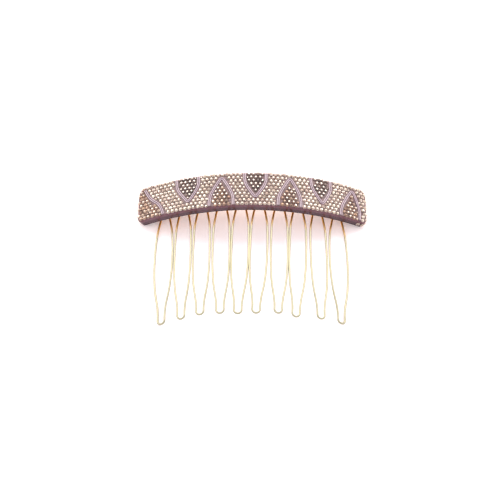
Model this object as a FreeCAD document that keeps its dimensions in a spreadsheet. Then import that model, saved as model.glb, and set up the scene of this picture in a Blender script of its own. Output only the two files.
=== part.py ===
import FreeCAD, Part
import math
import os
import random

import Sketcher
from FreeCAD import Placement, Rotation, Vector

# A decorative side comb, lying on its back. A curved acetate bar carries a pave of flat-back
# stones divided by pairs of thin trim cords. A rail with ten wire tines is bedded in adhesive
# on the back of the bar.
#
# Frame: X runs along the bar, +Y points from the tine tips to the bar's top edge, +Z is up.
# Z = 0 is the surface the comb lies on, and X = Y = 0 is the middle of its footprint.
# The bar, the rail and the tines all follow cylinders about one axis parallel to Y. A place on
# them is given as (along, across, radius): the arc length from the middle, the Y, and the
# distance from that axis.

SIZES = [
    ("front_radius", 92.0, "radius of the bar's front face"),
    ("bar_thickness", 3.7, "thickness of the acetate"),
    ("bar_height", 16.1, "bar's lower edge to its top edge"),
    ("half_chord", 46.85, "half the bar's length, straight across at its front face"),
    ("lower_edge", 15.5, "Y of the bar's lower edge"),
    ("corner_radius", 3.2, "rounding of the bar's two upper corners"),
    ("low_corner_radius", 1.6, "rounding of its two lower corners"),
    ("edge_round", 0.5, "rounding of the bar's long edges"),
    ("bed_thickness", 0.25, "resin coat under the stones"),
    ("bed_margin", 0.25, "bare border of the bar round the resin coat"),
    ("rail_diameter", 0.8, "rod that carries the tines"),
    ("rail_rise", 4.6, "rail's centre above the bar's lower edge"),
    ("rail_overrun", 4.2, "rail beyond the middle of the end tines"),
    ("wire_diameter", 0.85, "tine wire"),
    ("wire_clearance", 0.02, "between the rail and the hooks round it"),
    ("hook_gap", 0.02, "between the hooks and the back of the bar"),
    ("end_lift", 0.0, "the bar's ends above the surface"),
    ("comb_shift", -0.7, "middle of the row of tines, from the middle of the bar"),
    ("tine_pitch", 8.07, "between neighbouring tines, along the arc"),
    ("tine_reach", 46.15, "bar's lower edge to the outside of a tip"),
    ("tine_drop", 1.25, "how far a tip curves in towards the head"),
    ("bead_height", 6.4, "adhesive bead, across the bar"),
    ("bead_thickness", 1.65, "adhesive bead, off the back of the bar"),
    ("bead_overrun", 5.6, "bead beyond the middle of the end tines"),
    ("bead_bevel", 0.9, "sloped shoulder of the bead"),
    ("cord_diameter", 0.38, "one trim cord"),
    ("cord_spacing", 0.66, "between the two cords of a pair, centre to centre"),
    ("stone_gap", 0.05, "least space round a stone"),
]

TINE_COUNT = 10
# Half widths of a tine at depths below the bar's lower edge; the wire is bent by hand.
LEG_SHAPE = [(1.9, -3.4), (2.35, -0.6), (3.2, 4.6), (3.45, 12.5), (3.45, 23.0), (2.95, 32.0), (1.82, 38.8)]
TIP_HALF_WIDTH = 1.5
TIP_RUN = 2.2               # straight wire on each side of the tip bend
SQUARE_RUN = 0.8            # straight wire below each hook
END_TINE_SWELL = 1.18       # the two end tines bulge more than the others
TINE_SHIFTS = (0.3, 0.6, 0.5, 0.5, 0.2, -0.3, -0.2, -0.6, -0.4, 0.2)
# Sideways lean of each tip, and how much further than tine_reach it goes.
TIP_LEANS = (-0.55, -0.25, -0.3, -0.2, -0.9, -1.25, -0.6, -1.1, 1.15, 1.45)
TIP_STRETCHES = (1.1, 0.5, -0.2, 0.0, 0.5, 0.3, -0.1, 0.8, 0.1, 0.3)
LEAN_CURVE = 1.5            # power with which a lean builds up towards the tip
DROP_CURVE = 3.0            # and the curve in towards the head
HOOK_TURN = 250.0           # degrees that the wire's end wraps round the rail

# The trim's pattern. A panel is (middle, width factor, sideways shift of its point), and each
# half shape is (half width, height above the lower edge), from the bar's edge to the point.
SMOKE_PANELS = [(-26.85, 1.02, 0.5), (1.25, 0.95, 0.0), (28.25, 0.91, 0.8)]
TOPAZ_PANELS = [(-12.55, 1.0, 0.1), (15.15, 0.96, 0.3), (41.35, 0.88, 1.2)]
SMOKE_HALF = [(4.6, 15.6), (4.6, 12.4), (4.05, 10.15), (2.6, 7.55), (0.0, 3.65)]
TOPAZ_HALF = [(4.9, 0.5), (4.85, 3.2), (4.35, 5.85), (2.7, 9.45), (0.0, 14.2)]
END_CURVE = [(-46.1, 14.6), (-44.9, 12.2), (-43.5, 9.8), (-41.5, 7.7), (-39.6, 6.1), (-38.2, 3.8), (-37.2, 0.5)]
POINT_RADIUS = 0.75         # bend of a pair of cords at a panel's point
SHARP_TURN = 60             # degrees; a larger turn is bent to a radius of its own

STONE_SIZES = (1.72, 1.55, 1.4, 1.25, 1.1)
STONE_SIDES = 8
GIRDLE_SHARE, CROWN_SHARE, TABLE_SHARE = 0.12, 0.30, 0.52   # of a stone's diameter
STONE_BORDER = -0.06        # the outer stones stand a little over the bar's outline
ROW_SLACK = 0.04            # between stones in a row, beyond the least space
UNEVEN = 0.02               # hand setting moves a stone this much
FILL_STEP = 0.15
# The row of stones round each end: its run along the lower edge, and the outward directions,
# in degrees, between which it follows the end.
RIGHT_END_ROW = (2.3, -90, 72)
LEFT_END_ROW = (0.0, -14, 72)
END_STONE = 1.72
FAR_OFF = 99.0              # beyond the bar, to close an outline

doc = FreeCAD.newDocument("hair_comb")
sheet = doc.addObject("Spreadsheet::Sheet", "sizes")
for row, (alias, value, meaning) in enumerate(SIZES, start=1):
    sheet.set(f"A{row}", meaning)
    sheet.set(f"B{row}", str(value))
    sheet.setAlias(f"B{row}", alias)
doc.recompute()

size = {alias: float(sheet.get(alias)) for alias, _, _ in SIZES}
HALF_ANGLE = math.asin(size["half_chord"] / size["front_radius"])
BACK_RADIUS = size["front_radius"] - size["bar_thickness"]
AXIS_Z = size["end_lift"] - BACK_RADIUS * math.cos(HALF_ANGLE)
BED_RADIUS = size["front_radius"] + size["bed_thickness"]
HOOK_RADIUS = (size["rail_diameter"] + size["wire_diameter"]) / 2 + size["wire_clearance"]
RAIL_RADIUS = BACK_RADIUS - HOOK_RADIUS - size["wire_diameter"] / 2 - size["hook_gap"]
LEG_RADIUS = RAIL_RADIUS - HOOK_RADIUS
RAIL_Y = size["lower_edge"] + size["rail_rise"]
END_TINE = (TINE_COUNT - 1) / 2 * size["tine_pitch"]

AXIS_Z_RULE = "sizes.end_lift - (sizes.front_radius - sizes.bar_thickness)"
AXIS_Z_RULE += " * cos(asin(sizes.half_chord / sizes.front_radius))"
sub_parts = []


def label(item, name):
    """Names a finished sub-part; the name is also its file's."""
    item.Label = name
    sub_parts.append(item)
    return item


def on_arc(along, across, radius, reference):
    """The point at an arc length measured at the reference radius, a Y, and a distance from the axis."""
    angle = along / reference
    return Vector(radius * math.sin(angle), across, radius * math.cos(angle) + AXIS_Z)


def outward(along, reference):
    """The direction away from the axis at an arc length."""
    return Vector(math.sin(along / reference), 0, math.cos(along / reference))


# ---------------------------------------------------------------- curved plates

def plane_of(body, role):
    """One of a body's own origin planes."""
    return next(item for item in body.Origin.OriginFeatures if item.Role == role)


def arc_band(name, inner, outer, reach, start, depth):
    """A body padded along Y from a band between two arcs.

    inner, outer and reach, the half chord at the outer arc, are (value, rule) pairs, and so
    are start, the lower Y, and depth, the height along Y.
    """
    body = doc.addObject("PartDesign::Body", name)
    sketch = body.newObject("Sketcher::SketchObject", f"{name}_profile")
    sketch.AttachmentSupport = (plane_of(body, "XZ_Plane"), "")
    sketch.MapMode = "FlatFace"
    centre = Vector(0, AXIS_Z, 0)
    half = math.asin(reach[0] / outer[0])
    low, high = math.pi / 2 - half, math.pi / 2 + half
    for radius in (outer[0], inner[0]):
        circle = Part.Circle(centre, Vector(0, 0, 1), radius)
        sketch.addGeometry(Part.ArcOfCircle(circle, low, high), False)
    for angle in (low, high):
        ray = Vector(math.cos(angle), math.sin(angle), 0)
        sketch.addGeometry(Part.LineSegment(centre + ray * outer[0], centre + ray * inner[0]), False)
    for rule in (
        ("Coincident", 0, 3, 1, 3),
        ("PointOnObject", 0, 3, -2),
        ("Coincident", 0, 1, 2, 1),
        ("Coincident", 1, 1, 2, 2),
        ("Coincident", 0, 2, 3, 1),
        ("Coincident", 1, 2, 3, 2),
        ("PointOnObject", 0, 3, 2),
        ("PointOnObject", 0, 3, 3),
    ):
        sketch.addConstraint(Sketcher.Constraint(*rule))
    driven = (
        (("DistanceY", -1, 1, 0, 3, AXIS_Z), AXIS_Z_RULE),
        (("Radius", 0, outer[0]), outer[1]),
        (("Radius", 1, inner[0]), inner[1]),
        (("DistanceX", -1, 1, 0, 1, reach[0]), reach[1]),
        (("DistanceX", 0, 2, -1, 1, reach[0]), reach[1]),
    )
    for rule, formula in driven:
        index = sketch.addConstraint(Sketcher.Constraint(*rule))
        sketch.setExpression(f"Constraints[{index}]", formula)
    sketch.setExpression(".AttachmentOffset.Base.z", f"-({start[1]})")
    pad = body.newObject("PartDesign::Pad", f"{name}_pad")
    pad.Profile = sketch
    pad.setExpression("Length", depth[1])
    pad.Reversed = True
    doc.recompute()
    return body, pad


def edges_where(shape, test):
    """The names of the edges whose two ends and middle all pass a test."""
    names = []
    for number, edge in enumerate(shape.Edges, start=1):
        middle = edge.valueAt((edge.FirstParameter + edge.LastParameter) / 2)
        if all(test(point) for point in [vertex.Point for vertex in edge.Vertexes] + [middle]):
            names.append(f"Edge{number}")
    return names


def axis_distance(point):
    return math.hypot(point.x, point.z - AXIS_Z)


def round_edges(body, base, name, names, rule, kind="PartDesign::Fillet"):
    """A fillet or a chamfer on named edges of a feature."""
    feature = body.newObject(kind, name)
    feature.Base = (base, names)
    feature.setExpression("Radius" if kind.endswith("Fillet") else "Size", rule)
    doc.recompute()
    body.Tip = feature
    return feature


def round_corners(body, pad, reach, levels):
    """Rounds a plate's corners: the straight edges at its ends that run through its thickness.

    levels has the Y of the two upper or the two lower corners, and the rule for their radius.
    """
    feature = pad
    for number, (level, rule) in enumerate(levels, start=1):
        def at_corner(point):
            return abs(point.x) > reach - size["bar_thickness"] and abs(point.y - level) < 1e-4
        corners = edges_where(feature.Shape, at_corner)
        if len(corners) != 2:
            raise ValueError(f"{body.Name}: {len(corners)} corner edges")
        feature = round_edges(body, feature, f"{body.Name}_corners_{number}", corners, rule)
    return feature


def make_bar():
    """The acetate bar, with rounded corners and softened long edges."""
    low, high = size["lower_edge"], size["lower_edge"] + size["bar_height"]
    body, pad = arc_band(
        "bar_body",
        (BACK_RADIUS, "sizes.front_radius - sizes.bar_thickness"),
        (size["front_radius"], "sizes.front_radius"),
        (size["half_chord"], "sizes.half_chord"),
        (low, "sizes.lower_edge"),
        (size["bar_height"], "sizes.bar_height"),
    )
    levels = ((high, "sizes.corner_radius"), (low, "sizes.low_corner_radius"))
    rounded = round_corners(body, pad, size["half_chord"], levels)

    def on_outline(point):
        off = min(abs(axis_distance(point) - radius) for radius in (size["front_radius"], BACK_RADIUS))
        return off < 1e-4
    round_edges(body, rounded, "bar_body_edges", edges_where(rounded.Shape, on_outline), "sizes.edge_round")
    return label(body, "bar_body")


def make_bed():
    """The coat of tinted resin that the stones sit in."""
    margin = size["bed_margin"]
    low = size["lower_edge"] + margin
    high = size["lower_edge"] + size["bar_height"] - margin
    reach = BED_RADIUS * math.sin(HALF_ANGLE - margin / size["front_radius"])
    rule = "(sizes.front_radius + sizes.bed_thickness) * sin(asin(sizes.half_chord / sizes.front_radius)"
    rule += " - 1rad * sizes.bed_margin / sizes.front_radius)"
    body, pad = arc_band(
        "pave_bed",
        (size["front_radius"], "sizes.front_radius"),
        (BED_RADIUS, "sizes.front_radius + sizes.bed_thickness"),
        (reach, rule),
        (low, "sizes.lower_edge + sizes.bed_margin"),
        (high - low, "sizes.bar_height - 2 * sizes.bed_margin"),
    )
    radii = ("sizes.corner_radius - sizes.bed_margin", "sizes.low_corner_radius - sizes.bed_margin")
    round_corners(body, pad, reach, list(zip((high, low), radii)))
    return label(body, "pave_bed")


# ---------------------------------------------------------------- wire and cord

def smooth_edges(points, share=0.45, sharp_radius=None):
    """Straight runs joined by tangent arcs that pass close to the points.

    Each arc takes up a share of its shorter run. A turn sharper than SHARP_TURN is bent to
    sharp_radius instead, where one is given.
    """
    edges = []
    start = points[0]
    for before, corner, after in zip(points, points[1:], points[2:]):
        back, ahead = before - corner, after - corner
        trim = share * min(back.Length, ahead.Length)
        back.normalize()
        ahead.normalize()
        bisector = (back + ahead).normalize()
        half = bisector.getAngle(back)
        if sharp_radius and math.degrees(math.pi - 2 * half) > SHARP_TURN:
            trim = sharp_radius / math.tan(half)
        entry, leave = corner + back * trim, corner + ahead * trim
        middle = corner + bisector * (trim / math.cos(half) - trim * math.tan(half))
        edges.append(Part.LineSegment(start, entry).toShape())
        edges.append(Part.Arc(entry, middle, leave).toShape())
        start = leave
    edges.append(Part.LineSegment(start, points[-1]).toShape())
    return edges


def sweep_round(name, edges, diameter_rule):
    """A round section, its diameter ruled by the sheet, swept along joined edges."""
    path = doc.addObject("Part::Feature", f"{name}_path")
    path.Shape = Part.Wire(edges)
    first = edges[0]
    heading = first.tangentAt(first.FirstParameter)
    section = doc.addObject("Part::Circle", f"{name}_section")
    section.setExpression("Radius", f"{diameter_rule} / 2")
    section.Placement = Placement(first.valueAt(first.FirstParameter), Rotation(Vector(0, 0, 1), heading))
    sweep = doc.addObject("Part::Sweep", name)
    sweep.Sections = [section]
    sweep.Spine = (path, [f"Edge{n}" for n in range(1, len(edges) + 1)])
    sweep.Solid = True
    sweep.Frenet = False
    doc.recompute()
    length = path.Shape.Length
    section_area = math.pi * float(section.Radius) ** 2
    drift = abs(sweep.Shape.Volume / (length * section_area) - 1)
    if drift > 0.02:
        raise ValueError(f"{name}: volume is off by {drift:.1%}")
    return label(sweep, name)


def tine_place(centre, lean, offset, depth):
    """A place on a tine's curved sheet, offset sideways from its middle line at a depth below the bar."""
    share = max(0.0, depth) / size["tine_reach"]
    along = centre + offset + lean * share ** LEAN_CURVE
    radius = LEG_RADIUS - size["tine_drop"] * share ** DROP_CURVE
    return on_arc(along, size["lower_edge"] - depth, radius, LEG_RADIUS)


def tip_rails(centre, lean, stretch):
    """The two short parallel runs into a tine's tip, as [start, end] for each side, and their heading."""
    depth = size["tine_reach"] + stretch - size["wire_diameter"] / 2 - TIP_HALF_WIDTH
    start, end = (tine_place(centre, lean, 0, place) for place in (depth - TIP_RUN, depth))
    heading = (end - start).normalize()
    aside = outward(centre, LEG_RADIUS).cross(heading)
    aside = aside.normalize() * TIP_HALF_WIDTH
    if aside.x < 0:
        aside = aside * -1
    return {side: [start + aside * side, end + aside * side] for side in (-1, 1)}, heading


def hook_edges(foot):
    """The wire's end, wrapped round the rail; foot is the point where it meets the leg."""
    along = math.atan2(foot.x, foot.z - AXIS_Z) * LEG_RADIUS
    away = outward(along, LEG_RADIUS)
    centre = on_arc(along, RAIL_Y, RAIL_RADIUS, LEG_RADIUS)

    def at(degrees):
        turn = math.radians(degrees)
        return centre + away * (-HOOK_RADIUS * math.cos(turn)) + Vector(0, HOOK_RADIUS * math.sin(turn), 0)
    run = Part.LineSegment(foot, at(0)).toShape()
    wrap = Part.Arc(at(0), at(HOOK_TURN / 2), at(HOOK_TURN)).toShape()
    return [run, wrap]


def backwards(edges):
    """The same edges, met from the other end."""
    turned = []
    for edge in reversed(edges):
        middle = edge.valueAt((edge.FirstParameter + edge.LastParameter) / 2)
        first, last = edge.valueAt(edge.FirstParameter), edge.valueAt(edge.LastParameter)
        if isinstance(edge.Curve, Part.Line):
            turned.append(Part.LineSegment(last, first).toShape())
        else:
            turned.append(Part.Arc(last, middle, first).toShape())
    return turned


def make_tine(number):
    """One hairpin of spring wire, hooked twice over the rail."""
    centre = size["comb_shift"] + number * size["tine_pitch"] - END_TINE + TINE_SHIFTS[number]
    lean = TIP_LEANS[number]
    swell = END_TINE_SWELL if number in (0, TINE_COUNT - 1) else 1.0
    rails, heading = tip_rails(centre, lean, TIP_STRETCHES[number])
    halves = {}
    for side in (-1, 1):
        legs = []
        for half, depth in LEG_SHAPE:
            bulge = 1 + (swell - 1) * math.sin(math.pi * max(0.0, depth) / LEG_SHAPE[-1][1])
            legs.append(tine_place(centre, lean, side * half * bulge, depth))
        foot = legs[0]
        square = Vector(foot.x, foot.y - SQUARE_RUN, foot.z)
        halves[side] = (hook_edges(foot), smooth_edges([foot, square] + legs[1:] + rails[side]))
    (left_hook, left), (right_hook, right) = halves[-1], halves[1]
    tip = (rails[-1][1] + rails[1][1]) * 0.5 + heading * TIP_HALF_WIDTH
    bend = Part.Arc(rails[-1][1], tip, rails[1][1]).toShape()
    edges = backwards(left_hook) + left + [bend] + backwards(right) + right_hook
    return sweep_round(f"tine_{number + 1:02d}", edges, "sizes.wire_diameter")


def make_rail():
    """The rod that the tines hook over: part of a torus with a ball at each end."""
    half = (END_TINE + size["rail_overrun"]) / LEG_RADIUS
    rod = doc.addObject("Part::Torus", "rail_rod")
    rod.Radius1 = RAIL_RADIUS
    rod.setExpression("Radius2", "sizes.rail_diameter / 2")
    rod.Angle3 = math.degrees(2 * half)
    start = Vector(math.sin(half), 0, math.cos(half))
    across = Vector(-math.cos(half), 0, math.sin(half))
    turn = Rotation(start, across, Vector(0, -1, 0), "XYZ")
    rod.Placement = Placement(Vector(0, RAIL_Y, AXIS_Z), turn)
    pieces = [rod]
    for side in (-1, 1):
        ball = doc.addObject("Part::Sphere", "rail_ball")
        ball.setExpression("Radius", "sizes.rail_diameter / 2")
        ball.Placement.Base = on_arc(side * half * LEG_RADIUS, RAIL_Y, RAIL_RADIUS, LEG_RADIUS)
        pieces.append(ball)
    rail = doc.addObject("Part::MultiFuse", "comb_rail")
    rail.Shapes = pieces
    doc.recompute()
    return label(rail, "comb_rail")


def make_bead(wires):
    """The adhesive bead on the bar's back, with the rail and the hooks bedded in it."""
    inner = BACK_RADIUS - size["bead_thickness"]
    half = (END_TINE + size["bead_overrun"]) / LEG_RADIUS
    reach = BACK_RADIUS * math.sin(half)
    low = RAIL_Y - size["bead_height"] / 2
    high = RAIL_Y + size["bead_height"] / 2
    body, pad = arc_band(
        "bead_blank",
        (inner, "sizes.front_radius - sizes.bar_thickness - sizes.bead_thickness"),
        (BACK_RADIUS, "sizes.front_radius - sizes.bar_thickness"),
        (reach, f"{reach}"),
        (low, "sizes.lower_edge + sizes.rail_rise - sizes.bead_height / 2"),
        (size["bead_height"], "sizes.bead_height"),
    )
    free_face = edges_where(pad.Shape, lambda point: abs(axis_distance(point) - inner) < 1e-4)
    round_edges(body, pad, "bead_shoulder", free_face, "sizes.bead_bevel", "PartDesign::Chamfer")
    tools = doc.addObject("Part::Compound", "bedded_wire")
    tools.Links = wires
    bead = doc.addObject("Part::Cut", "adhesive_bead")
    bead.Base = body
    bead.Tool = tools
    doc.recompute()
    return label(bead, "adhesive_bead")


# ---------------------------------------------------------------- trim cords

def offset_line(points, distance):
    """A flat line moved sideways, with its corners kept sharp."""
    moved = []
    for index, point in enumerate(points):
        headings = []
        for one, other in ((index - 1, index), (index, index + 1)):
            if one >= 0 and other < len(points):
                step = points[other] - points[one]
                headings.append(step.normalize())
        normals = [Vector(-h.y, h.x, 0) for h in headings]
        mean = normals[0] + normals[-1]
        mean.normalize()
        moved.append(point + mean * (distance / mean.dot(normals[0])))
    return moved


def panel_outline(half_shape, middle, factor, shift):
    """A panel's whole outline, from its left end on the bar's edge, round its point, to its right end."""
    rim, point = half_shape[0][1], half_shape[-1][1]
    left, right = [], []
    for half, across in half_shape:
        centre = middle + shift * (across - rim) / (point - rim)
        left.append(Vector(centre - half * factor, across, 0))
        right.append(Vector(centre + half * factor, across, 0))
    return left + right[-2::-1]


def panel_outlines():
    """Each trimmed outline by name, as points (along, across above the lower edge)."""
    outlines = {"left_end": [Vector(along, across, 0) for along, across in END_CURVE]}
    for kind, half_shape, panels in (("smoke", SMOKE_HALF, SMOKE_PANELS), ("topaz", TOPAZ_HALF, TOPAZ_PANELS)):
        for number, panel in enumerate(panels, start=1):
            outlines[f"{kind}_panel_{number}"] = panel_outline(half_shape, *panel)
    return outlines


def make_cords(name, outline):
    """The two cords that follow an outline side by side. Returns the places along them."""
    places = []
    step = outline[1] - outline[0]
    turn = step.cross(outline[-1] - outline[0]).z
    outward_side = -1 if turn > 0 else 1
    for kind, sign in (("outer", 1), ("inner", -1)):
        aside = sign * outward_side * size["cord_spacing"] / 2
        radius = BED_RADIUS + size["cord_diameter"] / 2
        points = [on_arc(p.x, p.y + size["lower_edge"], radius, BED_RADIUS) for p in offset_line(outline, aside)]
        edges = smooth_edges(points, sharp_radius=POINT_RADIUS + sign * size["cord_spacing"] / 2)
        sweep_round(f"trim_{name}_{kind}", edges, "sizes.cord_diameter")
        for point in Part.Wire(edges).discretize(Distance=0.25):
            along = math.atan2(point.x, point.z - AXIS_Z) * BED_RADIUS
            places.append((along, point.y - size["lower_edge"]))
    return places


# ---------------------------------------------------------------- stones

def inside(outline, along, across):
    """True if a place lies inside a closed outline, or level with its ends between them."""
    crossings = 0
    for one, other in zip(outline, outline[1:] + outline[:1]):
        if (one.y > across) != (other.y > across):
            meet = one.x + (across - one.y) * (other.x - one.x) / (other.y - one.y)
            crossings += meet > along
    return crossings % 2 == 1


def room_to_border(along, across):
    """Distance from a place on the bed to the bar's rounded outline."""
    half_length, half_height = HALF_ANGLE * BED_RADIUS, size["bar_height"] / 2
    corner = size["corner_radius"] if across > half_height else size["low_corner_radius"]
    dx = abs(along) - (half_length - corner)
    dy = abs(across - half_height) - (half_height - corner)
    if dx > 0 and dy > 0:
        return corner - math.hypot(dx, dy)
    return corner - max(dx, dy)


class Layout:
    """Stones and cords already on the bed, kept in square cells for quick neighbour tests."""

    CELL = 2.0

    def __init__(self, cords):
        self.stones, self.cells = [], {}
        for along, across in cords:
            self._keep(along, across, size["cord_diameter"] / 2)

    def _keep(self, along, across, radius):
        key = (int(along // self.CELL), int(across // self.CELL))
        self.cells.setdefault(key, []).append((along, across, radius))

    def fits(self, along, across, radius, border):
        if room_to_border(along, across) < radius + border:
            return False
        column, row = int(along // self.CELL), int(across // self.CELL)
        for i in (column - 1, column, column + 1):
            for j in (row - 1, row, row + 1):
                for x, y, r in self.cells.get((i, j), ()):
                    if math.hypot(x - along, y - across) < r + radius + size["stone_gap"]:
                        return False
        return True

    def add(self, along, across, diameter):
        self.stones.append((along, across, diameter))
        self._keep(along, across, diameter / 2)


def lay_stones(cords):
    """Sets the bed: staggered rows of the largest stone first, then smaller ones in the gaps."""
    chance = random.Random(5)
    layout = Layout(cords)
    half_length, height = HALF_ANGLE * BED_RADIUS, size["bar_height"]
    largest = STONE_SIZES[0]
    pitch = largest + size["stone_gap"] + ROW_SLACK
    first = largest / 2
    rows = int((height - 2 * first) / (pitch * math.sqrt(3) / 2)) + 1
    for row in range(rows):
        along = -half_length + (row % 2) * pitch / 2
        while along < half_length:
            place = (
                along + chance.uniform(-UNEVEN, UNEVEN),
                first + row * (height - 2 * first) / (rows - 1) + chance.uniform(-UNEVEN, UNEVEN),
            )
            if layout.fits(*place, largest / 2, STONE_BORDER):
                layout.add(*place, largest)
            along += pitch
    for diameter in STONE_SIZES:
        for row in range(int(height / FILL_STEP)):
            for column in range(int(2 * half_length / FILL_STEP)):
                place = column * FILL_STEP - half_length, row * FILL_STEP
                if layout.fits(*place, diameter / 2, STONE_BORDER):
                    layout.add(*place, diameter)
    return layout.stones


def ring(diameter, height):
    """A regular polygon, flat to the bed, as a closed wire."""
    corners = []
    for n in range(STONE_SIDES):
        turn = 2 * math.pi * n / STONE_SIDES
        corners.append(Vector(diameter / 2 * math.cos(turn), diameter / 2 * math.sin(turn), height))
    return Part.makePolygon(corners + corners[:1])


def stone_solid(diameter):
    """A flat-back stone with its back at the origin: girdle, eight crown facets and a table."""
    girdle = diameter * GIRDLE_SHARE
    top = girdle + diameter * CROWN_SHARE
    return Part.makeLoft([ring(diameter, 0), ring(diameter, girdle), ring(diameter * TABLE_SHARE, top)], True, True)


blanks = {diameter: stone_solid(diameter) for diameter in set(STONE_SIZES) | {END_STONE}}


def set_stone(diameter, place, facing, turn):
    """One stone with its back at a place, facing a direction, turned on its own axis."""
    stone = blanks[diameter].copy()
    rotation = Rotation(Vector(0, 0, 1), facing).multiply(Rotation(Vector(0, 0, 1), turn))
    stone.Placement = Placement(place, rotation)
    return stone


def field_of(outlines, along, across):
    """The name of the field of stones that a place belongs to."""
    for name, outline in outlines.items():
        closed = outline
        if name == "left_end":
            closed = outline + [Vector(-FAR_OFF, 0, 0), Vector(-FAR_OFF, FAR_OFF, 0), Vector(outline[0].x, FAR_OFF, 0)]
        if inside(closed, along, across):
            return name
    number = 1 + sum(along > middle for middle, _, _ in TOPAZ_PANELS)
    return f"light_field_{number}"


def make_stones(outlines, cords):
    """One sub-part for each field, holding its stones as separate solids."""
    chance = random.Random(11)
    fields = {}
    for along, across, diameter in lay_stones(cords):
        place = on_arc(along, across + size["lower_edge"], BED_RADIUS, BED_RADIUS)
        stone = set_stone(diameter, place, outward(along, BED_RADIUS), chance.uniform(0, 45))
        fields.setdefault(field_of(outlines, along, across), []).append(stone)
    for name in sorted(fields):
        feature = doc.addObject("Part::Feature", f"stones_{name}")
        feature.Shape = Part.makeCompound(fields[name])
        label(feature, f"stones_{name}")
        print(f"stones_{name}: {len(fields[name])}")


def make_end_stones(name, side, row):
    """A single row of stones round one end of the bar, on the middle of its thickness."""
    chance = random.Random(3 if side > 0 else 4)
    low, high = size["low_corner_radius"], size["corner_radius"]
    radius = size["front_radius"] - size["bar_thickness"] / 2
    half_length = HALF_ANGLE * radius
    straight = size["bar_height"] - low - high
    lead, first, last = row[0], math.radians(row[1]), math.radians(row[2])
    low_arc = -first * low
    length = lead + low_arc + straight + last * high
    count = int(length / (END_STONE + size["stone_gap"]))
    stones = []
    for index in range(count):
        run = (index + 0.5) * length / count - lead
        inset, corner, base = 0.0, low, low
        if run < 0:
            inset, angle = -run, first
        elif run < low_arc:
            angle = first + run / low
        elif run < low_arc + straight:
            angle, base = 0.0, low + run - low_arc
        else:
            corner, angle, base = high, (run - low_arc - straight) / high, size["bar_height"] - high
        along = side * (half_length - corner + corner * math.cos(angle) - inset)
        across = size["lower_edge"] + base + corner * math.sin(angle)
        tangent = Vector(math.cos(along / radius), 0, -math.sin(along / radius)) * side
        facing = tangent * math.cos(angle) + Vector(0, math.sin(angle), 0)
        place = on_arc(along, across, radius, radius)
        stones.append(set_stone(END_STONE, place, facing, chance.uniform(0, 45)))
    feature = doc.addObject("Part::Feature", name)
    feature.Shape = Part.makeCompound(stones)
    return label(feature, name)


# ---------------------------------------------------------------- the whole comb

make_bar()
make_bed()
wires = [make_rail()] + [make_tine(number) for number in range(TINE_COUNT)]
make_bead(wires)
outlines = panel_outlines()
cord_places = []
for panel, outline in outlines.items():
    cord_places += make_cords(panel, outline)
make_stones(outlines, cord_places)
make_end_stones("stones_right_edge", 1, RIGHT_END_ROW)
make_end_stones("stones_left_edge", -1, LEFT_END_ROW)
doc.recompute()

for item in doc.Objects:
    if {"Invalid", "Error"} & set(item.State):
        raise ValueError(f"{item.Name} failed to compute: {item.State}")
os.makedirs("parts", exist_ok=True)
for item in sub_parts:
    shape = item.Shape
    if shape.isNull() or not shape.isValid() or shape.Volume <= 0:
        raise ValueError(f"{item.Label} has no valid solid")
    shape.exportStep(f"parts/{item.Label}.step")
    box = shape.BoundBox
    print(f"{item.Label:24s} solids {len(shape.Solids):3d}  volume {shape.Volume:9.3f}  "
          f"x {box.XMin:7.2f} {box.XMax:7.2f}  y {box.YMin:7.2f} {box.YMax:7.2f}  z {box.ZMin:6.2f} {box.ZMax:6.2f}")
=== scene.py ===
import logging
import math
import random
from collections.abc import Iterator
from dataclasses import dataclass, field
from enum import Enum

import bmesh
import bpy
from mathutils import Matrix, Vector


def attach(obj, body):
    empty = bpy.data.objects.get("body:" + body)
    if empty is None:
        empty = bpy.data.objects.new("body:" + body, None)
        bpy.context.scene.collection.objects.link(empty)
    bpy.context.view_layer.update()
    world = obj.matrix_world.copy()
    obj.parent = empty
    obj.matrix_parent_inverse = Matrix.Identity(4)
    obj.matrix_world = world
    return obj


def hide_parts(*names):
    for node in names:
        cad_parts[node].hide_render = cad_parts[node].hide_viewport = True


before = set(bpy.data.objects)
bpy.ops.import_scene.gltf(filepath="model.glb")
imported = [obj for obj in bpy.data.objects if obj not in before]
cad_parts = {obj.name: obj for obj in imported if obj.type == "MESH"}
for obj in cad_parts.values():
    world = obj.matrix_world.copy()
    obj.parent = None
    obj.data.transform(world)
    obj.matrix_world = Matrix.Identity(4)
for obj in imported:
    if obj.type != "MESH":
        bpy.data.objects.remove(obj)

LOG = logging.getLogger("hair_comb")
MM = 0.001
BODY = "root"
TABLE_CORNERS = 8
WELD_MM = 0.001         # corners closer than this are one corner
FLAT_DEG = 2.0          # triangles that meet at less than this are one facet


class Slot(Enum):
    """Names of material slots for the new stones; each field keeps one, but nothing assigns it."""

    SILK = "crystal_silk"
    SMOKE = "crystal_smoke"
    TOPAZ = "crystal_topaz"


def linear(colour: str) -> tuple[float, float, float, float]:
    """Turns an sRGB hex colour into the linear colour that shaders take.

    Args:
        colour: Six hex digits with a leading hash.

    Returns:
        Linear red, green and blue, and an alpha of 1.
    """
    parts = [int(colour[i:i + 2], 16) / 255 for i in (1, 3, 5)]
    red, green, blue = (c / 12.92 if c <= 0.04045 else ((c + 0.055) / 1.055) ** 2.4 for c in parts)
    return red, green, blue, 1.0


def per_metre(size_mm: float) -> float:
    """Returns the texture scale that makes one cell of a pattern size_mm wide."""
    return 1.0 / (size_mm * MM)


def direction(azimuth: float, elevation: float) -> Vector:
    """Finds the unit vector of a direction seen from the comb.

    Args:
        azimuth: Degrees from +Y towards +X.
        elevation: Degrees above the paper.

    Returns:
        The direction.
    """
    turn, rise = math.radians(azimuth), math.radians(elevation)
    level = math.cos(rise)
    return Vector((math.sin(turn) * level, math.cos(turn) * level, math.sin(rise)))


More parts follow.
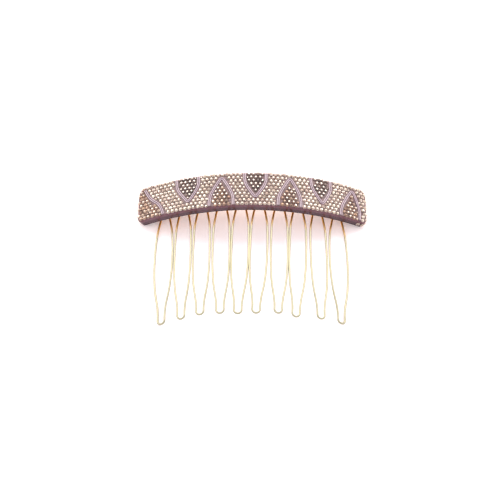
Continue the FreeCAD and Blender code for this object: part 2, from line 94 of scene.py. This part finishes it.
def add_node(tree: bpy.types.NodeTree, kind: str, inputs: dict | None = None,
             **settings) -> bpy.types.Node:
    """Adds a shader node with its settings and its inputs.

    Args:
        tree: The node tree to add to.
        kind: The node's class name.
        inputs: Socket name or number to a constant, or to the output socket to link from.
        **settings: Properties of the node.

    Returns:
        The new node.
    """
    node = tree.nodes.new(kind)
    for name, value in settings.items():
        setattr(node, name, value)
    for key, value in (inputs or {}).items():
        if isinstance(value, bpy.types.NodeSocket):
            tree.links.new(value, node.inputs[key])
        else:
            node.inputs[key].default_value = value
    return node


def add_ramp(tree: bpy.types.NodeTree, factor: bpy.types.NodeSocket,
             stops: list[tuple[float, str]]) -> bpy.types.NodeSocket:
    """Adds a colour ramp.

    Args:
        tree: The node tree to add to.
        factor: The socket that drives the ramp.
        stops: Position and sRGB hex colour of each stop, in order.

    Returns:
        The ramp's colour output.
    """
    ramp = add_node(tree, "ShaderNodeValToRGB", {"Fac": factor})
    elements = ramp.color_ramp.elements
    while len(elements) < len(stops):
        elements.new(0.5)
    for element, (position, colour) in zip(elements, stops):
        element.position = position
        element.color = linear(colour)
    return ramp.outputs["Color"]


@dataclass(frozen=True)
class Finish:
    """A surface finish. Each kind of finish adds its pattern to a Principled shader."""

    name: str

    def pattern(self, tree: bpy.types.NodeTree, shader: bpy.types.Node) -> None:
        """Links the finish's pattern to its shader.

        Args:
            tree: The material's node tree.
            shader: The material's Principled shader.
        """
        raise NotImplementedError

    def material(self) -> bpy.types.Material:
        """Makes the material, or returns the one already made.

        Returns:
            The material.
        """
        made = bpy.data.materials.get(self.name)
        if made:
            return made
        made = bpy.data.materials.new(self.name)
        made.use_nodes = True
        tree = made.node_tree
        self.pattern(tree, tree.nodes["Principled BSDF"])
        return made

    def dress(self, piece: bpy.types.Object) -> None:
        """Puts the finish on every material slot of a piece.

        Args:
            piece: A new piece or a CAD node.
        """
        if not piece.material_slots:
            piece.data.materials.append(None)
        for slot in piece.material_slots:
            slot.material = self.material()


@dataclass(frozen=True)
class PolishedAcetate(Finish):
    """Cellulose acetate, tumbled: deep gloss over plum, with painted shade that darkens it towards
    the back.
    """

    axis_mm: float = -75.99         # height of the axis that the bar is bent round
    radii_mm: tuple[float, float] = (88.3, 92.0)    # of the bar's back and front
    layers: tuple[tuple[float, str], ...] = (       # painted shade, from the back to the front
        (0.0, "#180C11"),
        (0.2, "#22131A"),
        (0.34, "#4E303C"),
        (0.5, "#3A2129"),
        (0.66, "#54333E"),
        (1.0, "#70454F"),
    )
    cloud: str = "#8E6E78"
    cloud_mm: float = 9.0
    cloud_share: float = 0.22
    haze_mm: float = 1.2
    roughness: tuple[float, float] = (0.096, 0.24)

    def pattern(self, tree: bpy.types.NodeTree, shader: bpy.types.Node) -> None:
        """Paints shade that darkens the plum towards the bar's back, clouds it and leaves haze in
        the polish.
        """
        place = add_node(tree, "ShaderNodeTexCoord").outputs["Object"]
        flat = add_node(tree, "ShaderNodeVectorMath", {
            0: place, 1: (1.0, 0.0, 1.0),
        }, operation="MULTIPLY")
        centred = add_node(tree, "ShaderNodeVectorMath", {
            0: flat.outputs["Vector"], 1: (0.0, 0.0, -self.axis_mm * MM),
        }, operation="ADD")
        radius = add_node(tree, "ShaderNodeVectorMath", {
            0: centred.outputs["Vector"],
        }, operation="LENGTH")
        depth = add_node(tree, "ShaderNodeMapRange", {
            "Value": radius.outputs["Value"],
            "From Min": self.radii_mm[0] * MM,
            "From Max": self.radii_mm[1] * MM,
        }).outputs["Result"]
        clouds = add_node(tree, "ShaderNodeTexNoise", {
            "Vector": place, "Scale": per_metre(self.cloud_mm),
            "Detail": 3.0, "Roughness": 0.5, "Distortion": 0.6,
        }).outputs["Fac"]
        share = add_node(tree, "ShaderNodeMapRange", {
            "Value": clouds, "From Min": 0.35, "From Max": 0.75, "To Max": self.cloud_share,
        })
        # painted shade: the plum darkens towards the back of the bar, with a thin darker line
        # across its middle
        back_shaded = add_ramp(tree, depth, list(self.layers))
        colour = add_node(tree, "ShaderNodeMix", {
            "Factor": share.outputs["Result"], 6: back_shaded, 7: linear(self.cloud),
        }, data_type="RGBA").outputs[2]
        tree.links.new(colour, shader.inputs["Base Color"])
        haze = add_node(tree, "ShaderNodeTexNoise", {
            "Vector": place, "Scale": per_metre(self.haze_mm), "Detail": 3.0,
        })
        rough = add_node(tree, "ShaderNodeMapRange", {
            "Value": haze.outputs["Fac"], "To Min": self.roughness[0], "To Max": self.roughness[1],
        })
        tree.links.new(rough.outputs["Result"], shader.inputs["Roughness"])
        shader.inputs["IOR"].default_value = 1.48
        shader.inputs["Subsurface Weight"].default_value = 0.08
        shader.inputs["Subsurface Scale"].default_value = 1.0 * MM
        shader.inputs["Specular IOR Level"].default_value = 0.35
        shader.inputs["Coat Weight"].default_value = 0.05
        shader.inputs["Coat Roughness"].default_value = 0.05


@dataclass(frozen=True)
class TintedResin(Finish):
    """Tinted epoxy, spread thin and cured: glossy dark mauve, uneven between the stones."""

    light: str = "#7D5A60"
    dark: str = "#4A3036"
    ripple_mm: float = 1.1
    rise_mm: float = 0.05

    def pattern(self, tree: bpy.types.NodeTree, shader: bpy.types.Node) -> None:
        """Mottles the resin and ripples its surface where the stones have pushed it up."""
        place = add_node(tree, "ShaderNodeTexCoord").outputs["Object"]
        ripple = add_node(tree, "ShaderNodeTexNoise", {
            "Vector": place, "Scale": per_metre(self.ripple_mm), "Detail": 2.0,
        }).outputs["Fac"]
        colour = add_ramp(tree, ripple, [(0.35, self.dark), (0.7, self.light)])
        tree.links.new(colour, shader.inputs["Base Color"])
        bump = add_node(tree, "ShaderNodeBump", {
            "Height": ripple, "Strength": 0.4, "Distance": self.rise_mm * MM,
        })
        tree.links.new(bump.outputs["Normal"], shader.inputs["Normal"])
        shader.inputs["Roughness"].default_value = 0.25
        shader.inputs["IOR"].default_value = 1.55


@dataclass(frozen=True)
class FoiledCrystal(Finish):
    """Cut lead glass with a foil back, with painted reflections: each facet gets a painted flash of
    its own, and most tables a painted highlight.
    """

    tones: tuple[str, ...]
    flashes: tuple[tuple[float, str], ...] = (      # painted reflections, from a dark facet to a bright one
        (0.0, "#3A2A28"), (0.25, "#8E7C74"), (0.6, "#D2C4BA"), (1.0, "#FFFFFF"),
    )
    table_highlight: str = "#EFE3D8"
    no_highlight_share: float = 0.33          # share of stones whose table gets no painted highlight

    def pattern(self, tree: bpy.types.NodeTree, shader: bpy.types.Node) -> None:
        """Tints each stone, paints a reflection on each facet and a pale highlight on most tables.
        """
        tint = add_node(tree, "ShaderNodeAttribute", attribute_name="tint").outputs["Fac"]
        glint = add_node(tree, "ShaderNodeAttribute", attribute_name="glint").outputs["Fac"]
        painted_highlight = add_node(tree, "ShaderNodeAttribute", attribute_name="painted_highlight").outputs["Fac"]
        stops = [(index / (len(self.tones) - 1), tone) for index, tone in enumerate(self.tones)]
        glass = add_ramp(tree, tint, stops)
        flash = add_ramp(tree, glint, list(self.flashes))
        # painted reflections: each facet's tint is scaled by its own flash
        facets = add_node(tree, "ShaderNodeMix", {
            "Factor": 1.0, 6: glass, 7: flash,
        }, data_type="RGBA", blend_type="MULTIPLY").outputs[2]
        # painted highlight: the table's colour turns towards a pale cream
        colour = add_node(tree, "ShaderNodeMix", {
            "Factor": painted_highlight, 6: facets, 7: linear(self.table_highlight),
        }, data_type="RGBA").outputs[2]
        tree.links.new(colour, shader.inputs["Base Color"])
        shader.inputs["Metallic"].default_value = 0.35
        shader.inputs["Roughness"].default_value = 0.2
        shader.inputs["Coat Weight"].default_value = 1.0
        shader.inputs["Coat Roughness"].default_value = 0.02
        shader.inputs["Coat IOR"].default_value = 1.58


@dataclass(frozen=True)
class SatinCord(Finish):
    """Thin polyester cord, set in clear lacquer: pale lilac with a soft satin sheen."""

    light: str = "#CDBAC6"
    dark: str = "#AA94A2"
    twist_mm: float = 0.5
    rise_mm: float = 0.03

    def pattern(self, tree: bpy.types.NodeTree, shader: bpy.types.Node) -> None:
        """Varies the lilac along the cord at about the length of its twist."""
        place = add_node(tree, "ShaderNodeTexCoord").outputs["Object"]
        twist = add_node(tree, "ShaderNodeTexNoise", {
            "Vector": place, "Scale": per_metre(self.twist_mm), "Detail": 2.0,
        }).outputs["Fac"]
        colour = add_ramp(tree, twist, [(0.3, self.dark), (0.65, self.light)])
        tree.links.new(colour, shader.inputs["Base Color"])
        bump = add_node(tree, "ShaderNodeBump", {
            "Height": twist, "Strength": 0.3, "Distance": self.rise_mm * MM,
        })
        tree.links.new(bump.outputs["Normal"], shader.inputs["Normal"])
        shader.inputs["Roughness"].default_value = 0.35
        shader.inputs["Sheen Weight"].default_value = 0.2
        shader.inputs["Coat Weight"].default_value = 0.3


@dataclass(frozen=True)
class GoldPlate(Finish):
    """Gold-plated spring wire: pale, with soft satin reflections, and a painted orange reflection
    and shade of the bar near it.
    """

    gold: str = "#ADAA95"
    deep: str = "#A9A58C"
    painted_bar_reflection: str = "#F2B45E"
    bar_reflection_mm: tuple[float, float] = (9.0, 15.0)    # Y over which the painted orange reflection and shade come in
    wear_mm: float = 4.0
    roughness: tuple[float, float] = (0.3, 0.45)

    def pattern(self, tree: bpy.types.NodeTree, shader: bpy.types.Node) -> None:
        """Paints the bar's orange reflection and shade towards the bar, deepens the plate a little
        in patches, and varies its polish.
        """
        place = add_node(tree, "ShaderNodeTexCoord").outputs["Object"]
        patches = add_node(tree, "ShaderNodeTexNoise", {
            "Vector": place, "Scale": per_metre(self.wear_mm), "Detail": 5.0,
        }).outputs["Fac"]
        pale = add_ramp(tree, patches, [(0.3, self.deep), (0.6, self.gold)])
        across = add_node(tree, "ShaderNodeSeparateXYZ", {"Vector": place}).outputs["Y"]
        share = add_node(tree, "ShaderNodeMapRange", {
            "Value": across,
            "From Min": self.bar_reflection_mm[0] * MM,
            "From Max": self.bar_reflection_mm[1] * MM,
        })
        # painted reflection and shade of the bar: the plate turns orange towards it
        colour = add_node(tree, "ShaderNodeMix", {
            "Factor": share.outputs["Result"], 6: pale, 7: linear(self.painted_bar_reflection),
        }, data_type="RGBA").outputs[2]
        tree.links.new(colour, shader.inputs["Base Color"])
        rough = add_node(tree, "ShaderNodeMapRange", {
            "Value": patches, "To Min": self.roughness[0], "To Max": self.roughness[1],
        })
        tree.links.new(rough.outputs["Result"], shader.inputs["Roughness"])
        shader.inputs["Metallic"].default_value = 1.0


@dataclass(frozen=True)
class CuredAdhesive(Finish):
    """Two-part adhesive, levelled by hand: dark plum, semi-gloss, with a faint orange-peel skin."""

    light: str = "#6E4B56"
    dark: str = "#533542"
    peel_mm: float = 1.8
    rise_mm: float = 0.15

    def pattern(self, tree: bpy.types.NodeTree, shader: bpy.types.Node) -> None:
        """Gives the skin its low ripples."""
        place = add_node(tree, "ShaderNodeTexCoord").outputs["Object"]
        peel = add_node(tree, "ShaderNodeTexNoise", {
            "Vector": place, "Scale": per_metre(self.peel_mm), "Detail": 3.0,
        }).outputs["Fac"]
        colour = add_ramp(tree, peel, [(0.3, self.dark), (0.7, self.light)])
        tree.links.new(colour, shader.inputs["Base Color"])
        bump = add_node(tree, "ShaderNodeBump", {
            "Height": peel, "Strength": 0.5, "Distance": self.rise_mm * MM,
        })
        tree.links.new(bump.outputs["Normal"], shader.inputs["Normal"])
        shader.inputs["Roughness"].default_value = 0.32
        shader.inputs["IOR"].default_value = 1.54


@dataclass(frozen=True)
class StudioPaper(Finish):
    """White paper over a light table: matt, lit a little from below, and pink under the bar with
    painted shade and bounced light.
    """

    white: str = "#FFF8FF"
    painted_bar_shade: str = "#FFEBE6"
    bar_shade_mm: tuple[float, float] = (8.0, 22.0)      # Y over which the white turns pink with painted shade
    through: str = "#FFF0F0"
    strength: float = 0.23

    def pattern(self, tree: bpy.types.NodeTree, shader: bpy.types.Node) -> None:
        """Paints pink shade and bounced light under the bar and sets the light from below."""
        place = add_node(tree, "ShaderNodeTexCoord").outputs["Object"]
        across = add_node(tree, "ShaderNodeSeparateXYZ", {"Vector": place}).outputs["Y"]
        under = add_node(tree, "ShaderNodeMapRange", {
            "Value": across,
            "From Min": self.bar_shade_mm[0] * MM,
            "From Max": self.bar_shade_mm[1] * MM,
        }).outputs["Result"]
        # painted shade and bounced light: the white turns pink under the bar
        colour = add_ramp(tree, under, [(0.0, self.white), (1.0, self.painted_bar_shade)])
        tree.links.new(colour, shader.inputs["Base Color"])
        shader.inputs["Roughness"].default_value = 0.9
        shader.inputs["Emission Color"].default_value = linear(self.through)
        shader.inputs["Emission Strength"].default_value = self.strength


ACETATE = PolishedAcetate("plum_acetate_polished")
RESIN = TintedResin("mauve_epoxy_cured")
CORD = SatinCord("lilac_cord_satin")
GOLD = GoldPlate("gold_plate_bright")
ADHESIVE = CuredAdhesive("plum_adhesive_cured")
PAPER = StudioPaper("white_background_paper")
SILK = FoiledCrystal(
    "silk_crystal_foiled",
    ("#DAC8C0", "#EEE2D8", "#D4BCB6", "#E4DACC", "#F4ECE2", "#CAB6AE"),
)
SMOKE = FoiledCrystal(
    "smoke_crystal_foiled",
    ("#624540", "#8A7068", "#4E3430", "#A08780"),
    table_highlight="#F8EEE4",
    no_highlight_share=0.18,
)
TOPAZ = FoiledCrystal(
    "topaz_crystal_foiled",
    ("#A07866", "#BC9882", "#7E5A4C", "#C6AC98", "#AC805E"),
)
PALE_TOPAZ = FoiledCrystal(
    "pale_topaz_crystal_foiled",
    ("#B8927F", "#D2B29C", "#9C7868", "#DAC4B2", "#C49C7C"),
)


@dataclass(frozen=True)
class Setting:
    """Where a stone sits: the middle of its back, the way it faces and its diameter, in metres."""

    place: Vector
    facing: Vector
    diameter: float


def settings_of(node: bpy.types.Object) -> Iterator[Setting]:
    """Reads where the stones of a CAD node sit.

    Args:
        node: A CAD node that holds separate eight-sided stones.

    Yields:
        Each stone's setting, read from its flat back, which is its largest face.
    """
    stones = bmesh.new()
    stones.from_mesh(node.data)
    bmesh.ops.remove_doubles(stones, verts=stones.verts, dist=WELD_MM * MM)
    bmesh.ops.dissolve_limit(
        stones, angle_limit=math.radians(FLAT_DEG), verts=stones.verts, edges=stones.edges,
    )
    waiting = set(stones.faces)
    for seed in stones.faces:
        if seed not in waiting:
            continue
        waiting.discard(seed)
        stone, edge_of_search = [seed], [seed]
        while edge_of_search:
            face = edge_of_search.pop()
            for near in {other for edge in face.edges for other in edge.link_faces} & waiting:
                waiting.discard(near)
                stone.append(near)
                edge_of_search.append(near)
        back = max(stone, key=lambda face: face.calc_area())
        middle = back.calc_center_median()
        radius = max((vert.co - middle).length for vert in back.verts)
        yield Setting(middle.copy(), -back.normal.copy(), 2 * radius)
    stones.free()


@dataclass
class FlatBackCut:
    """A flat-back stone one unit wide: a table, eight stars, eight kites, sixteen lower facets."""

    mains: int = TABLE_CORNERS
    table: float = 0.22         # radius of the table's corners
    middle: float = 0.385       # radius where stars, kites and lower facets meet
    girdle: float = 0.5
    table_height: float = 0.42
    girdle_height: float = 0.13
    flat_deg: float = 1.5       # triangles that meet at less than this are one facet

    def ring(self, blank: bmesh.types.BMesh, count: int, radius: float, height: float,
             turn: float) -> None:
        """Adds a ring of corners.

        Args:
            blank: The stone being cut.
            count: Corners in the ring.
            radius: Radius of the ring.
            height: Height above the stone's back.
            turn: Angle of the first corner.
        """
        place = Matrix.Translation((0, 0, height)) @ Matrix.Rotation(turn, 4, "Z")
        bmesh.ops.create_circle(blank, segments=count, radius=radius, matrix=place)

    def mesh(self) -> bpy.types.Mesh:
        """Cuts the stone: the hull of its rings, with the coplanar triangles of each facet joined.

        Returns:
            The stone's mesh, with its back on the XY plane.
        """
        half = math.pi / self.mains
        slope = (self.table_height - self.girdle_height) / (self.girdle - self.table)
        middle_height = self.table_height - slope * (self.middle * math.cos(half) - self.table)
        blank = bmesh.new()
        self.ring(blank, 2 * self.mains, self.girdle, 0.0, 0.0)
        self.ring(blank, 2 * self.mains, self.girdle, self.girdle_height, 0.0)
        self.ring(blank, self.mains, self.middle, middle_height, half)
        self.ring(blank, self.mains, self.table, self.table_height, 0.0)
        bmesh.ops.delete(blank, geom=list(blank.edges), context="EDGES_FACES")
        bmesh.ops.convex_hull(blank, input=blank.verts)
        bmesh.ops.dissolve_limit(
            blank, angle_limit=math.radians(self.flat_deg), verts=blank.verts, edges=blank.edges,
        )
        bmesh.ops.recalc_face_normals(blank, faces=blank.faces)
        cut = bpy.data.meshes.new("flat_back_cut")
        blank.to_mesh(cut)
        blank.free()
        return cut


@dataclass
class StoneField:
    """One field of the pave: a faceted stone on each setting of a CAD node."""

    node: str
    finish: FoiledCrystal
    slot: Slot
    cut: bpy.types.Mesh
    seed: int
    fit: float = 0.97           # the round stone inside its eight-sided CAD stone
    tilt_deg: float = 3.5       # stones set by hand are never quite level
    sink_mm: float = 0.03
    highlight_range: tuple[float, float] = (0.55, 1.0)  # how strong a table's painted highlight is
    # mean and spread of each facet's painted reflection
    glint_mean: float = 0.55
    glint_spread: float = 0.25
    settings: list[Setting] = field(default_factory=list)

    def build(self) -> bpy.types.Object:
        """Sets the field's stones.

        Returns:
            The field as one piece.
        """
        chance = random.Random(self.seed)
        self.settings = list(settings_of(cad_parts[self.node]))
        stones = bmesh.new()
        tint = stones.faces.layers.float.new("tint")
        glint = stones.faces.layers.float.new("glint")
        painted_highlight = stones.faces.layers.float.new("painted_highlight")
        for setting in self.settings:
            done_verts, done_faces = len(stones.verts), len(stones.faces)
            stones.from_mesh(self.cut)
            stones.verts.ensure_lookup_table()
            stones.faces.ensure_lookup_table()
            lean = Matrix.Rotation(math.radians(chance.gauss(0, self.tilt_deg)), 4, "X")
            spin = Matrix.Rotation(chance.uniform(0, math.tau), 4, "Z")
            face_out = setting.facing.to_track_quat("Z", "Y").to_matrix().to_4x4()
            place = Matrix.Translation(setting.place - setting.facing * self.sink_mm * MM)
            size = Matrix.Scale(setting.diameter * self.fit, 4)
            move = place @ face_out @ spin @ lean @ size
            bmesh.ops.transform(stones, matrix=move, verts=stones.verts[done_verts:])
            own_tint = chance.random()
            # painted highlight on the table of most stones, and a painted reflection on every facet
            own_highlight = 0.0
            if chance.random() >= self.finish.no_highlight_share:
                own_highlight = chance.uniform(*self.highlight_range)
            for facet in stones.faces[done_faces:]:
                facet[tint] = own_tint
                bright = chance.gauss(self.glint_mean, self.glint_spread)
                facet[glint] = min(1.0, max(0.0, bright))
                facet[painted_highlight] = own_highlight if len(facet.verts) == TABLE_CORNERS else 0.0
        mesh = bpy.data.meshes.new(self.node + "_cut")
        stones.to_mesh(mesh)
        stones.free()
        piece = bpy.data.objects.new(self.node + "_cut", mesh)
        bpy.context.scene.collection.objects.link(piece)
        return piece

    def dress(self, piece: bpy.types.Object) -> None:
        """Gives the field its finish and its place in the frame.

        Args:
            piece: The field as built.
        """
        self.finish.dress(piece)
        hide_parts(self.node)
        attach(piece, BODY)


@dataclass
class Pave:
    """All the stones on the bar."""

    cut: FlatBackCut = field(default_factory=FlatBackCut)

    def finish_of(self, node: str) -> tuple[FoiledCrystal, Slot]:
        """Picks the glass of a field.

        Args:
            node: The field's CAD node.

        Returns:
            Its finish and its material slot.
        """
        if "smoke" in node:
            return SMOKE, Slot.SMOKE
        if "topaz" in node:
            return TOPAZ, Slot.TOPAZ
        if "left" in node:
            return PALE_TOPAZ, Slot.TOPAZ
        return SILK, Slot.SILK

    def build(self) -> list[bpy.types.Object]:
        """Builds and dresses every field.

        Returns:
            The fields.
        """
        cut = self.cut.mesh()
        pieces = []
        names = sorted(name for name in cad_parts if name.startswith("stones_"))
        for seed, name in enumerate(names):
            finish, slot = self.finish_of(name)
            stones = StoneField(name, finish, slot, cut, seed)
            piece = stones.build()
            stones.dress(piece)
            LOG.info("%s: %d stones", piece.name, len(stones.settings))
            pieces.append(piece)
        return pieces


@dataclass
class CarriedOver:
    """CAD nodes whose shape is already right, and the finish that they get."""

    finish: Finish
    prefixes: tuple[str, ...]

    def dress(self) -> list[bpy.types.Object]:
        """Dresses each node.

        Returns:
            The dressed nodes.
        """
        names = sorted(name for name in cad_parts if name.startswith(self.prefixes))
        nodes = [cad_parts[name] for name in names]
        for node in nodes:
            self.finish.dress(node)
            LOG.info("%s: %s", node.name, self.finish.name)
        return nodes


@dataclass
class LevelledBead(CarriedOver):
    """The adhesive as it levelled: the CAD bead, rounded off by two modifiers."""

    cell_mm: float = 0.28
    passes: int = 6
    share: float = 0.5          # of the way to its neighbours that a corner moves in a pass

    def dress(self) -> list[bpy.types.Object]:
        """Dresses the bead and rounds it off.

        Returns:
            The dressed bead.
        """
        nodes = super().dress()
        for node in nodes:
            remesh = node.modifiers.new("level", "REMESH")
            remesh.mode = "VOXEL"
            remesh.voxel_size = self.cell_mm * MM
            remesh.use_smooth_shade = True
            smooth = node.modifiers.new("round_off", "SMOOTH")
            smooth.factor = self.share
            smooth.iterations = self.passes
        return nodes


@dataclass(frozen=True)
class Softbox:
    """A softbox: its direction from the comb in degrees, its size in metres and its watts."""

    name: str
    azimuth: float
    elevation: float
    width: float
    height: float
    power: float

    def hang(self, middle: Vector, reach: float, colour: str) -> bpy.types.Object:
        """Hangs the softbox so that it looks at the comb.

        Args:
            middle: The place that it looks at.
            reach: How far from there it hangs.
            colour: The sRGB hex colour of its light.

        Returns:
            The light.
        """
        lamp = bpy.data.lights.new(self.name, "AREA")
        lamp.shape = "RECTANGLE"
        lamp.size, lamp.size_y = self.width, self.height
        lamp.energy = self.power
        lamp.color = linear(colour)[:3]
        towards = direction(self.azimuth, self.elevation)
        light = bpy.data.objects.new(self.name, lamp)
        light.location = middle + towards * reach
        light.rotation_euler = towards.to_track_quat("Z", "Y").to_euler()
        bpy.context.scene.collection.objects.link(light)
        return light


@dataclass
class Studio:
    """White paper, soft light from all round, and the camera. Metres and degrees."""

    middle: Vector
    elevation: float = 57.0
    azimuth: float = 179.6
    distance: float = 0.6
    lens_mm: float = 108.0
    sensor_mm: float = 36.0
    paper: float = 6.0
    surround: float = 1.1
    reach: float = 0.9
    softbox_colour: str = "#FFF5E8"
    softboxes: tuple[Softbox, ...] = (
        Softbox("softbox_back", 0, 57, 0.9, 0.35, 2.6),
        Softbox("softbox_left", -46, 36, 0.7, 0.35, 2.2),
        Softbox("softbox_right", 46, 36, 0.7, 0.35, 2.2),
    )

    def lay_paper(self) -> bpy.types.Object:
        """Lays the paper that the comb lies on.

        Returns:
            The paper.
        """
        sheet = bmesh.new()
        bmesh.ops.create_grid(sheet, x_segments=1, y_segments=1, size=self.paper / 2)
        mesh = bpy.data.meshes.new("studio_paper")
        sheet.to_mesh(mesh)
        sheet.free()
        paper = bpy.data.objects.new("studio_paper", mesh)
        bpy.context.scene.collection.objects.link(paper)
        PAPER.dress(paper)
        return paper

    def light(self) -> None:
        """Lights the tent's walls and hangs the softboxes."""
        world = bpy.data.worlds.new("light_tent")
        world.use_nodes = True
        background = world.node_tree.nodes["Background"]
        background.inputs["Color"].default_value = linear("#FFFFFF")
        background.inputs["Strength"].default_value = self.surround
        bpy.context.scene.world = world
        for softbox in self.softboxes:
            softbox.hang(self.middle, self.reach, self.softbox_colour)

    def place_camera(self) -> bpy.types.Object:
        """Stands the camera in front of the tine tips, looking down at the comb.

        Returns:
            The camera.
        """
        data = bpy.data.cameras.new("camera")
        data.lens, data.sensor_width = self.lens_mm, self.sensor_mm
        towards = direction(self.azimuth, self.elevation)
        camera = bpy.data.objects.new("camera", data)
        camera.location = self.middle + towards * self.distance
        camera.rotation_euler = towards.to_track_quat("Z", "Y").to_euler()
        bpy.context.scene.collection.objects.link(camera)
        bpy.context.scene.camera = camera
        return camera

    def build(self) -> None:
        """Sets up the whole studio."""
        self.lay_paper()
        self.light()
        self.place_camera()
        bpy.context.scene.view_settings.view_transform = "Standard"


def main() -> None:
    """Dresses the CAD nodes, sets the stones and lights the comb."""
    logging.basicConfig(level=logging.INFO, format="%(message)s")
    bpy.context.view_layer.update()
    for carried in (
        CarriedOver(ACETATE, ("bar_body",)),
        CarriedOver(RESIN, ("pave_bed",)),
        LevelledBead(ADHESIVE, ("adhesive_bead",)),
        CarriedOver(GOLD, ("comb_rail", "tine_")),
        CarriedOver(CORD, ("trim_",)),
    ):
        carried.dress()
    Pave().build()
    Studio(Vector((-0.73, -1.45, 9.09)) * MM).build()
    bpy.context.view_layer.update()


if __name__ == "__main__":
    main()
